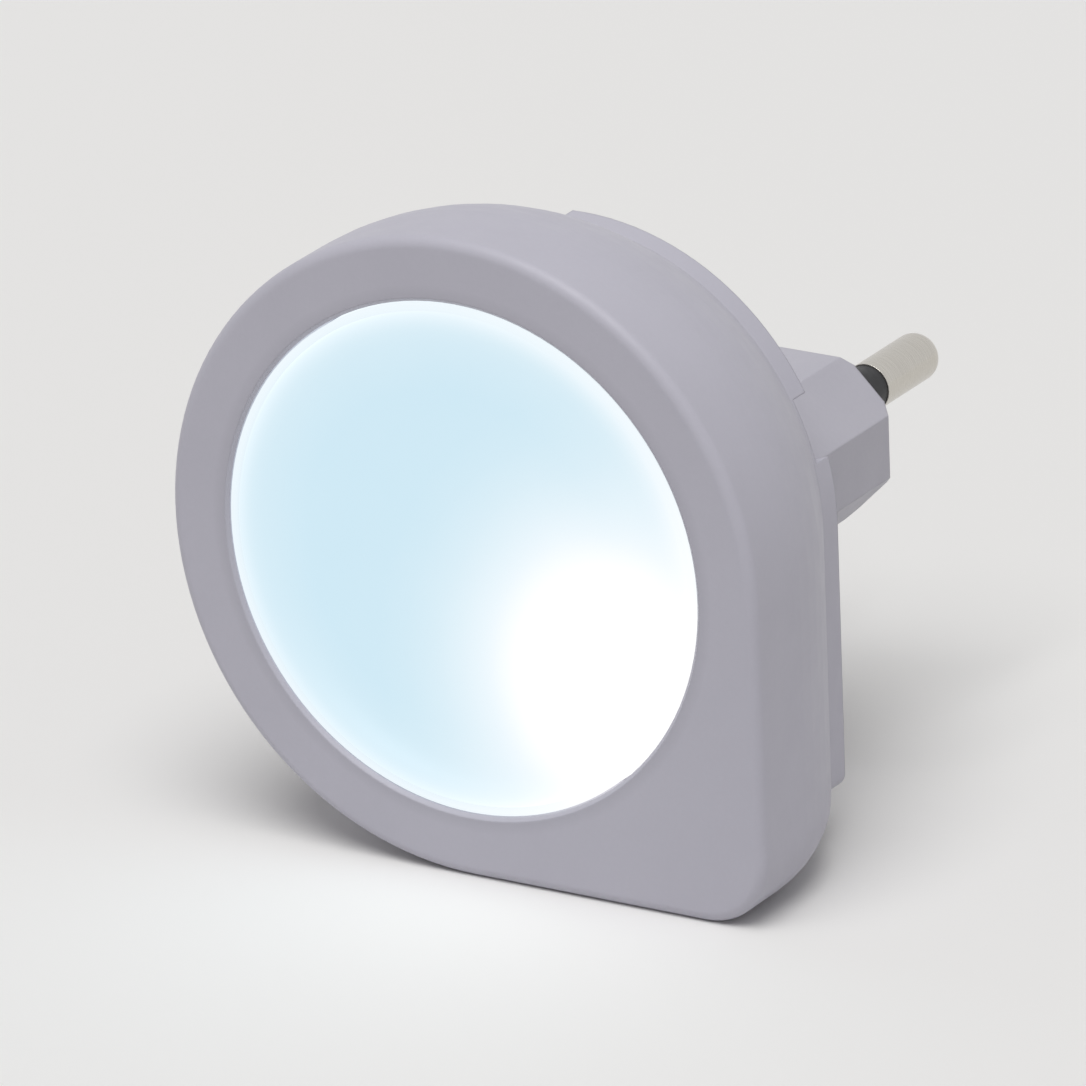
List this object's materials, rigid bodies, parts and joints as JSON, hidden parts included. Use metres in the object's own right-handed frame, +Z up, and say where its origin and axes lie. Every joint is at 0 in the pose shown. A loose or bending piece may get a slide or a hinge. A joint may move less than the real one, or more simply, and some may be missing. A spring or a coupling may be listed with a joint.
{
  "type": "plug-in night light",
  "caption": "Plug-in night light: a round moulded shell with one square corner, a glowing dished opal lens in its face, a dusk sensor, and a flat two-pin plug on its back.",
  "frame": {"origin": "centre of the rear cover's back face, where it lies on the wall socket's plate, on the plug's axis", "axes": "+Y into the wall along the plug, +Z up the wall, +X to the right as seen from the room; the face with the lens looks along -Y"},
  "size_m": [0.0528, 0.056, 0.0528],
  "materials": {
    "shell_plastic": "satin",
    "cover_plastic": "satin",
    "opal_plastic": "satin",
    "reflector_plastic": "satin",
    "board_laminate": "satin",
    "led_phosphor": "gloss",
    "sensor_resin": "gloss",
    "black_rubber": "matte",
    "window_plastic": "gloss",
    "film_case": "satin",
    "can_sleeve": "gloss",
    "chip_resin": "matte",
    "green_lacquer": "gloss",
    "blue_lacquer": "gloss",
    "tan_lacquer": "gloss",
    "diode_case": "gloss",
    "disc_coating": "gloss",
    "screw_steel": "satin",
    "pin_metal": "nickel plated, satin",
    "sleeve_plastic": "satin",
    "retainer_plastic": "satin",
    "contact_brass": "satin"
  },
  "bodies": {
    "root": {"front_housing": "shell_plastic", "diffuser_lens": "opal_plastic", "reflector_cup": "reflector_plastic", "circuit_board": "board_laminate", "led_emitter": "led_phosphor", "light_sensor": "sensor_resin", "sensor_sleeve": "black_rubber", "sensor_window": "window_plastic", "film_capacitor": "film_case", "smoothing_capacitor": "can_sleeve", "bridge_rectifier": "chip_resin", "fusible_resistor": "green_lacquer", "bleed_resistor": "blue_lacquer", "series_resistor": "tan_lacquer", "zener_diode": "diode_case", "varistor": "disc_coating", "switch_transistor": "chip_resin", "board_screw": "screw_steel", "rear_cover": "cover_plastic", "left_pin": "pin_metal", "right_pin": "pin_metal", "left_pin_sleeve": "sleeve_plastic", "right_pin_sleeve": "sleeve_plastic", "pin_retainer": "retainer_plastic", "retainer_screw": "screw_steel", "left_contact": "contact_brass", "right_contact": "contact_brass"}
  },
  "joints": []
}
